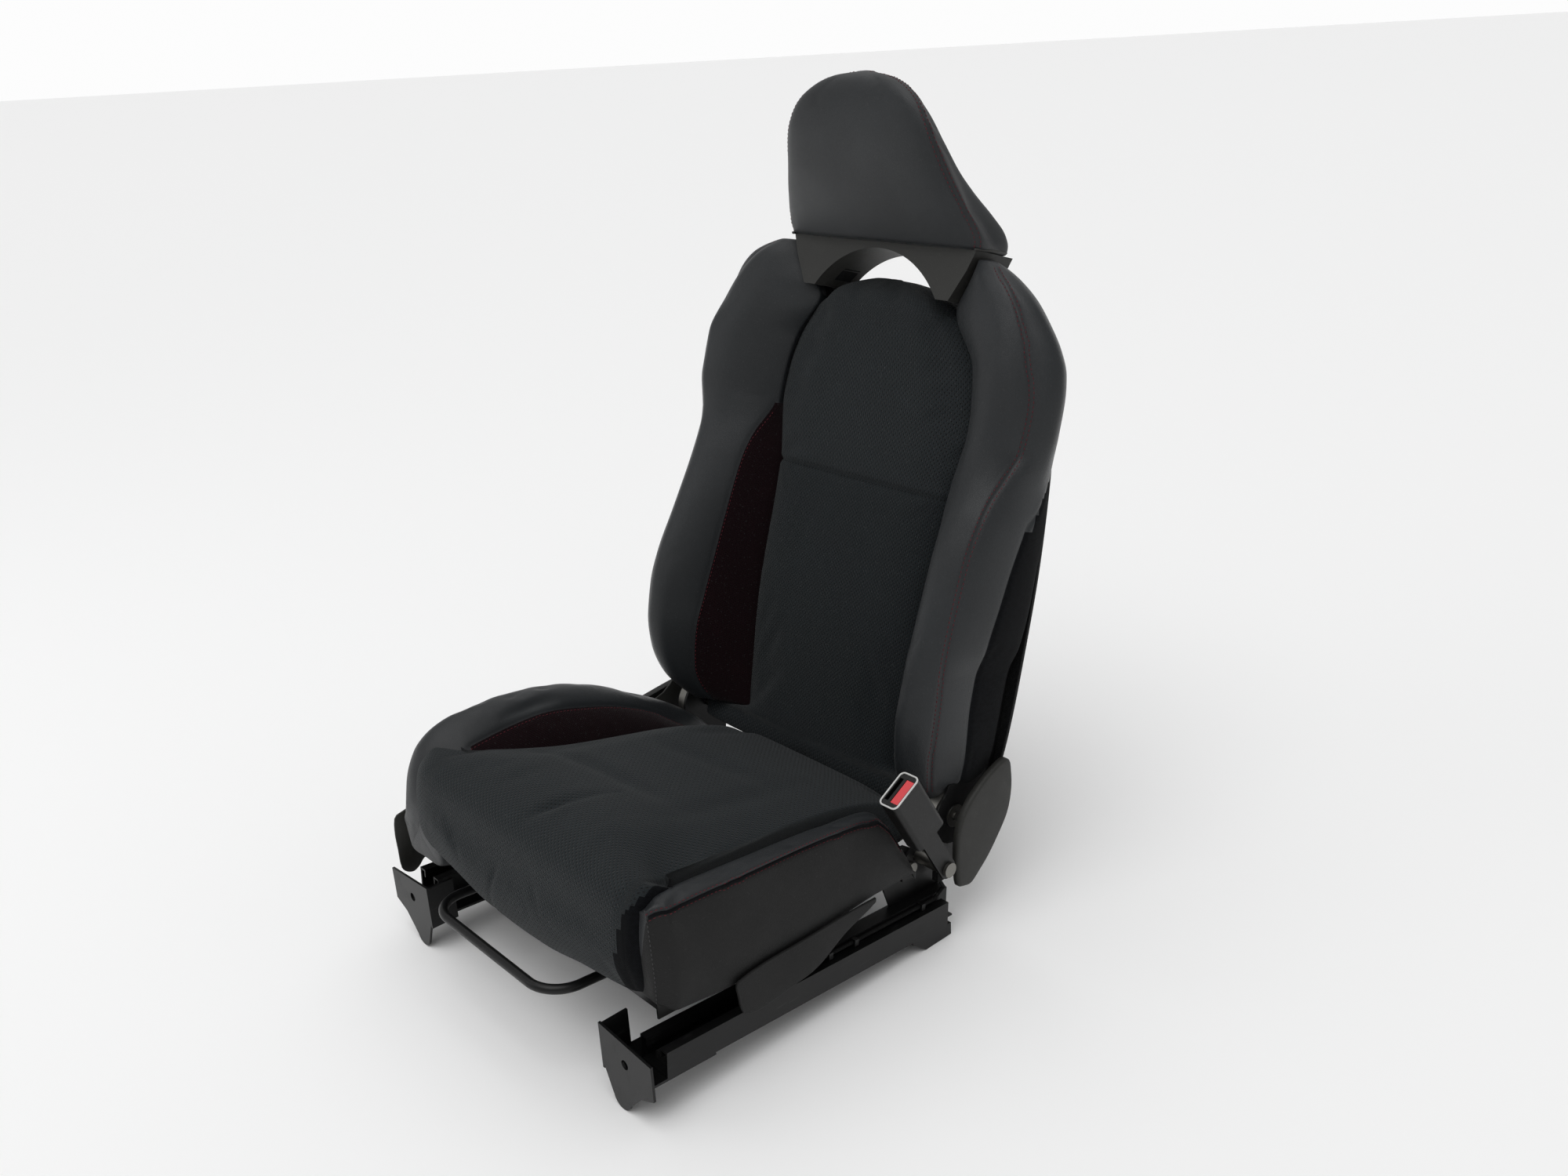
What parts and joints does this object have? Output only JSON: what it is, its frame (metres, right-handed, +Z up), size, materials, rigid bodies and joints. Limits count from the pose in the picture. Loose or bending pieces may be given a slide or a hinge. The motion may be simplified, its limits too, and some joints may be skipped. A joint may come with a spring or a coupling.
{
  "type": "reclining sport seat",
  "caption": "Front sport seat with bolstered cushion and reclining backrest, raised head restraint, slide rails, lift bar and belt buckle.",
  "frame": {"origin": "middle of the base, on the floor plane that the feet stand on", "axes": "+X towards the sitter's left, +Y rearwards, +Z up; the seat faces -Y"},
  "size_m": [0.56, 0.7279, 0.9632],
  "materials": {
    "black_steel": "satin black electro-coat",
    "upper_rail_steel": "phosphated, thinly greased",
    "plated_steel": "dull zinc",
    "spring_wire": "black oxide",
    "stop_rubber": "matte",
    "knit_fabric": "waffle and diamond knit",
    "charcoal_leather": "fine grain, satin, dark-red double stitching",
    "back_cloth": "plain weave",
    "grained_plastic": "fine leather grain",
    "black_plastic": "satin",
    "lead_sheath": "woven sheath",
    "post_chrome": "bright",
    "red_button": "gloss red"
  },
  "bodies": {
    "floor_rails": {"lower_rail_left": "black_steel", "lower_rail_right": "black_steel", "front_foot_left": "black_steel", "front_foot_right": "black_steel", "rear_foot_left": "black_steel", "rear_foot_right": "black_steel", "rail_rollers": "plated_steel", "rail_stops": "stop_rubber", "foot_rivets": "plated_steel"},
    "seat_base": {"upper_rail_left": "upper_rail_steel", "upper_rail_right": "upper_rail_steel", "side_frame_left": "black_steel", "side_frame_right": "black_steel", "front_pan": "black_steel", "rear_tube": "black_steel", "seat_springs": "spring_wire", "cushion_pad": "knit_fabric", "cushion_bolster_left": "charcoal_leather", "cushion_bolster_right": "charcoal_leather", "trim_flap": "charcoal_leather", "side_valance": "grained_plastic", "recliner_shield": "grained_plastic", "recliner_arm_left": "black_steel", "recliner_arm_right": "black_steel", "recliner_disc_left": "plated_steel", "recliner_disc_right": "plated_steel", "frame_bolts": "plated_steel", "buckle_anchor": "plated_steel", "seat_lead": "lead_sheath", "lead_clips": "black_plastic", "latch_pins": "plated_steel"},
    "slide_lever": {"lift_bar": "black_steel", "latch_lever_left": "black_steel", "latch_lever_right": "black_steel"},
    "recliner_lever": {"recliner_rod": "plated_steel", "recliner_handle": "grained_plastic"},
    "backrest": {"back_side_left": "black_steel", "back_side_right": "black_steel", "back_hoop": "black_steel", "back_cross": "black_steel", "back_springs": "spring_wire", "back_pad": "knit_fabric", "back_bolster_left": "charcoal_leather", "back_bolster_right": "charcoal_leather", "back_panel": "back_cloth", "headrest_guides": "black_plastic"},
    "head_restraint": {"head_posts": "post_chrome", "head_pad": "charcoal_leather", "head_bezel": "grained_plastic"},
    "headrest_catch": {"headrest_button": "black_plastic"},
    "buckle": {"buckle_stalk": "black_steel", "buckle_housing": "black_plastic"},
    "buckle_release": {"buckle_button": "red_button"}
  },
  "joints": [
    {"name": "seat_slide", "type": "slide", "parent": "floor_rails", "child": "seat_base", "axis": [0, -0.9973, 0.0732], "range_m": [-0.06, 0.118]},
    {"name": "lift_bar_hinge", "type": "hinge", "parent": "seat_base", "child": "slide_lever", "pos_m": [0, -0.112, 0.087], "axis": [-1, 0, 0], "range_deg": [0, 3.5], "stiffness_Nm_per_rad": 4, "springref_deg": -20.05},
    {"name": "recline_hinge", "type": "hinge", "parent": "seat_base", "child": "backrest", "pos_m": [0, 0.135, 0.15], "axis": [1, 0, 0], "range_deg": [-45, 27]},
    {"name": "recliner_release", "type": "hinge", "parent": "seat_base", "child": "recliner_lever", "pos_m": [0, 0.135, 0.15], "axis": [-1, 0, 0], "range_deg": [0, 25], "stiffness_Nm_per_rad": 1.5, "springref_deg": -17.19},
    {"name": "head_restraint_slide", "type": "slide", "parent": "backrest", "child": "head_restraint", "axis": [0, 0.2756, 0.9613], "range_m": [0, 0.05]},
    {"name": "head_release_press", "type": "slide", "parent": "backrest", "child": "headrest_catch", "axis": [-1, 0, 0], "range_m": [0, 0.002], "stiffness_N_per_m": 600, "springref_m": -0.002},
    {"name": "buckle_swing", "type": "hinge", "parent": "seat_base", "child": "buckle", "pos_m": [0.265, 0.091, 0.11], "axis": [1, 0, 0], "range_deg": [-15, 25]},
    {"name": "buckle_press", "type": "slide", "parent": "buckle", "child": "buckle_release", "axis": [0, 0.4909, -0.8712], "range_m": [0, 0.005], "stiffness_N_per_m": 500, "springref_m": -0.003}
  ]
}
